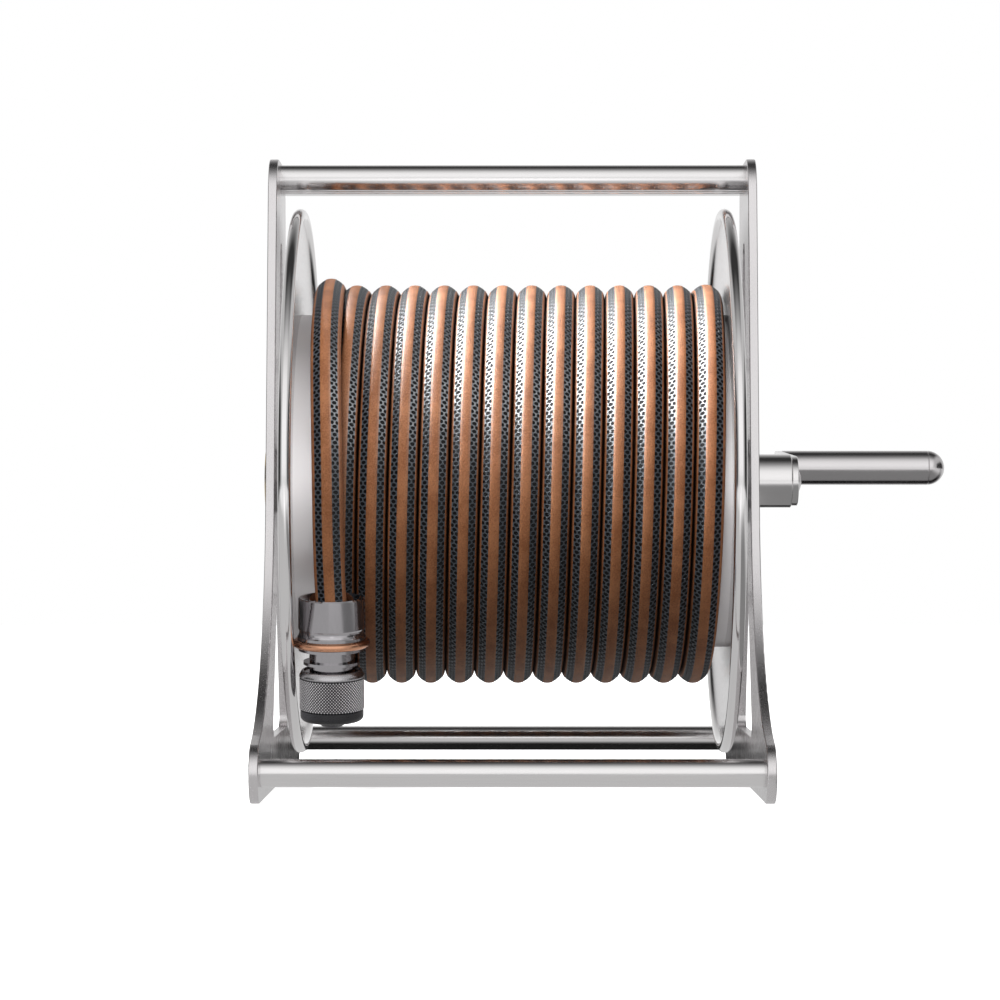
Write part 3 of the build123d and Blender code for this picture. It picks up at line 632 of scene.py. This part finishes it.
metals = {
    "plate": brushed_metal("plate_steel", STEEL, 0.24, ALONG_Z, depth=0.000006),
    "rail": brushed_metal("rail_steel", BRIGHT, 0.18, ALONG_X, spread=0.05, depth=0.000002),
    "fastener": brushed_metal("fastener_steel", STEEL, 0.28, MEDIUM),
    "flange": spun_metal("flange_steel", (0.70, 0.68, 0.685), 0.20, rings=800.0, metallic=0.90),
    "flange_rim": spun_metal("rim_steel", BRIGHT, 0.11, rings=500.0, spread=0.04, depth=0.000002),
    "structure": brushed_metal("plain_steel", (0.50, 0.50, 0.51), 0.36, COARSE),
    "brass_part": brushed_metal("turned_brass", (0.68, 0.50, 0.24), 0.24, ALONG_X),
    "bush": dull_solid("acetal", (0.78, 0.76, 0.70), 0.38),
    "seal": dull_solid("seal_rubber", (0.012, 0.012, 0.012), 0.55),
    "crank": spun_metal("crank_steel", BRIGHT, 0.14, spread=0.05, depth=0.000003),
    "grip": brushed_metal("grip_steel", STEEL, 0.20, ALONG_X, depth=0.000004),
    "coupling": brushed_metal("dark_chrome", (0.44, 0.425, 0.44), 0.08, DRAWN, spread=0.04, depth=0.000003),
    "knurl": knurl_material(),
    "accent_ring": brushed_metal("polished_copper", (0.66, 0.34, 0.21), 0.20, FINE, depth=0.000001),
    "drum": brushed_metal("drum_steel", (0.74, 0.72, 0.725), 0.32, ALONG_X,
                          spread=0.03, depth=0.0000005, tint=0.01, metallic=0.50),
    "plunger": brushed_metal("black_chrome", (0.075, 0.072, 0.078), 0.22, FINE, depth=0.000002),
    "bumper": dull_solid("bumper_rubber", (0.026, 0.026, 0.029), 0.30, grain=2500.0, depth=0.00001),
    "spring": brushed_metal("spring_steel", (0.52, 0.52, 0.53), 0.26, FINE),
}


def node_slots():
    """The look of each CAD node: its record's slot, but a paler drum and a darker plating on the plunger."""
    looks = {part["node"]: part["material_slot"] for part in frame["record"]["subparts"]}
    looks["valve_plunger"] = "plunger"
    looks["drum_shell"] = "drum"
    return looks


def dress_nodes():
    """Put its look on each CAD node. The hose's own nodes are replaced, so they take any."""
    slots = node_slots()
    for name, piece in frame["nodes"].items():
        material = metals.get(slots[name], metals["seal"])
        for socket in piece.material_slots:
            socket.material = material


dress_nodes()
sleeve = knurled_sleeve()
sleeve.data.materials.append(metals["knurl"])
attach(sleeve, "sleeve")
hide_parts("release_sleeve")
make_springs()
make_hose()


# ---------------------------------------------------------------- floor
FLOOR_RADIUS = 4.0
FLOOR_GLOW = 0.80
# Painted light on the floor, seen only in the metal: a glow given by two places along an axis, and the brightness
# at each.
UNDER = (0.130, 0.157, 0.62, 0.01)           # Y: lit under the object, dark from its rear edge on
ASIDE = (0.145, 0.170, 1.0, 0.42)            # X to either side: dimmer outside the side plates
AHEAD = (-0.35, -1.10, 0.0, 0.80)            # Y: brighter far in front
BEHIND = (0.22, 0.60, 0.0, 0.75)             # Y: brighter far behind
LEFT = (-0.145, -0.170, 0.0, 0.36)           # X: brighter from the left side plate on
RIGHT = (0.40, 0.90, 0.0, 0.50)              # X: brighter far to the right


def make_floor():
    """A white floor. In the metal it shows a painted glow, bright under the object and far away, and painted shade
    close behind it.
    """
    made = bmesh.new()
    bmesh.ops.create_circle(made, cap_ends=True, segments=96, radius=FLOOR_RADIUS)
    floor = add_piece("floor", made)
    material, nodes, bsdf = shader("floor_white", Roughness=0.9, Specular_IOR_Level=0.0)
    bsdf.inputs["Emission Strength"].default_value = FLOOR_GLOW
    bsdf.inputs["Emission Color"].default_value = grey(1.0)
    bsdf.inputs["Base Color"].default_value = grey(0.9)
    place = nodes.add("ShaderNodeTexCoord").outputs["Object"]
    parts = nodes.add("ShaderNodeSeparateXYZ", {0: place})
    sideways = parts.outputs[0]
    backward = parts.outputs[1]
    under = nodes.map_range(backward, *UNDER, smooth=True)
    aside = nodes.map_range(nodes.math("ABSOLUTE", sideways), *ASIDE, smooth=True)
    ahead = nodes.map_range(backward, *AHEAD, smooth=True)
    behind = nodes.map_range(backward, *BEHIND, smooth=True)
    left = nodes.map_range(sideways, *LEFT, smooth=True)
    right = nodes.map_range(sideways, *RIGHT, smooth=True)
    beside = nodes.math("ADD", left, right)
    around = nodes.math("MAXIMUM", nodes.math("ADD", ahead, behind), beside)
    shade = nodes.math("ADD", nodes.math("MULTIPLY", under, aside), around)
    # Painted light and painted shadow: for reflections only, the floor glows by place instead of being lit.
    painted_reflection_glow = nodes.add("ShaderNodeEmission", {0: grey(1.0), 1: shade})
    glossy_ray = nodes.add("ShaderNodeLightPath").outputs["Is Glossy Ray"]
    both = nodes.add("ShaderNodeMixShader", {0: glossy_ray, 1: bsdf.outputs[0], 2: painted_reflection_glow.outputs[0]})
    output = next(node for node in nodes.tree.nodes if node.type == "OUTPUT_MATERIAL")
    nodes.tree.links.new(both.outputs[0], output.inputs[0])
    floor.data.materials.append(material)
    floor.visible_diffuse = False


make_floor()


# ---------------------------------------------------------------- light
# Angle up from straight ahead of the object, over the top to behind it, and the brightness there.
WORLD_BANDS = [
    (-180, 0.80), (-135, 0.12), (-90, 0.04), (-50, 0.07), (-30, 0.14), (-12, 0.50),
    (4, 1.12), (22, 1.18), (42, 1.05), (58, 0.74), (71, 0.40), (84, 0.17),
    (97, 0.04), (116, 0.04), (132, 0.28), (152, 0.66), (180, 0.90),
]
# A direction's share along X, where the bands give way to the flanks and these to the dark ends.
WORLD_FLANK = 0.62
FLANK_EDGE = (0.50, 0.72)
WORLD_END = 0.04
END_EDGE = (0.82, 0.90)
END_HEIGHT = (0.30, 0.50, 1.0, 0.0)          # the dark ends fade out above and below this height
# Height of the direction, from straight down to straight up, and the matt light from there.
MATT_BANDS = [(-1.0, 0.0), (-0.1, 0.02), (0.1, 0.12), (0.45, 0.50), (0.8, 0.75), (1.0, 0.60)]


def place_of(angle):
    """An angle's place along the ramp from -180 to 180 degrees."""
    return (angle + 180) / 360


def make_world():
    """White to the camera. In the metal: bright ahead and behind, dark overhead, below and at the ends."""
    world = bpy.data.worlds.new("studio")
    scene.world = world
    world.use_nodes = True
    nodes = Nodes(world.node_tree)
    way = nodes.add("ShaderNodeTexCoord").outputs["Generated"]
    parts = nodes.add("ShaderNodeSeparateXYZ", {0: way})
    height = parts.outputs[2]
    toward = nodes.math("MULTIPLY", parts.outputs[1], -1.0)
    share = nodes.map_range(nodes.math("ARCTAN2", height, toward), -pi, pi)
    bands = nodes.ramp(share, [(place_of(angle), (value, value, value)) for angle, value in WORLD_BANDS])
    aside = nodes.math("ABSOLUTE", parts.outputs[0])
    flanks = nodes.mix(nodes.map_range(aside, *FLANK_EDGE, smooth=True), bands, grey(WORLD_FLANK))
    level = nodes.map_range(nodes.math("ABSOLUTE", height), *END_HEIGHT, smooth=True)
    ends = nodes.math("MULTIPLY", nodes.map_range(aside, *END_EDGE, smooth=True), level)
    gloss = nodes.mix(ends, flanks, grey(WORLD_END))
    rise = nodes.map_range(height, -1.0, 1.0)
    matt = nodes.ramp(rise, [((z + 1) / 2, (value, value, value)) for z, value in MATT_BANDS])
    matt_ray = nodes.add("ShaderNodeLightPath").outputs["Is Diffuse Ray"]
    studio = nodes.add("ShaderNodeBackground", {0: nodes.mix(matt_ray, gloss, matt), 1: 1.0})
    white = nodes.add("ShaderNodeBackground", {0: grey(1.0), 1: 1.0})
    camera_ray = nodes.add("ShaderNodeLightPath").outputs["Is Camera Ray"]
    both = nodes.add("ShaderNodeMixShader", {0: camera_ray, 1: studio.outputs[0], 2: white.outputs[0]})
    nodes.add("ShaderNodeOutputWorld", {0: both.outputs[0]})


AT_COIL = (0.0, 0.0, 0.25)
AT_FLANGES = (0.0, 0.0, 0.20)
# Name, place, target, width, height, power and use: matt light on everything, the sheen on the hose alone,
# or matt light on the flanges and the drum alone.
LAMPS = [
    ("key", (-1.45, -0.05, 1.30), AT_COIL, 1.1, 0.8, 72.0, "matt"),
    ("front", (-0.45, -1.10, 1.40), AT_COIL, 0.9, 0.6, 12.0, "matt"),
    ("key_sheen", (-1.45, -0.05, 1.32), AT_COIL, 1.1, 0.8, 430.0, "hose"),
    ("top_sheen", (-0.85, 0.40, 1.70), AT_COIL, 0.7, 0.6, 160.0, "hose"),
    ("right_glow", (1.30, -1.20, 0.55), AT_FLANGES, 0.9, 0.9, 44.0, "flange"),
    ("left_glow", (-1.30, -1.20, 0.55), AT_FLANGES, 0.9, 0.9, 12.0, "flange"),
    ("ahead_glow", (0.0, -1.70, 0.35), AT_FLANGES, 1.0, 0.8, 45.0, "flange"),
    ("fill_sheen", (1.50, -0.50, 1.10), AT_COIL, 1.0, 0.8, 50.0, "hose"),
]


def make_lamps():
    lit = {use: bpy.data.collections.new(use + "_only") for use in ("hose", "flange")}
    for name in ("hose_winding", "hose_tail_end"):
        lit["hose"].objects.link(bpy.data.objects[name])
    for name in ("flange_left", "flange_right", "drum_shell"):
        lit["flange"].objects.link(frame["nodes"][name])
    for name, place, target, width, height, power, use in LAMPS:
        data = bpy.data.lights.new(name, "AREA")
        data.shape = "RECTANGLE"
        data.size = width
        data.size_y = height
        data.energy = power
        lamp = bpy.data.objects.new(name, data)
        lamp.location = place
        lamp.rotation_euler = (Vector(target) - Vector(place)).to_track_quat("-Z", "Y").to_euler()
        lamp.visible_camera = False
        lamp.visible_diffuse = use != "hose"
        lamp.visible_glossy = use == "hose"
        if use in lit:
            lamp.light_linking.receiver_collection = lit[use]
        scene.collection.objects.link(lamp)


make_world()
make_lamps()
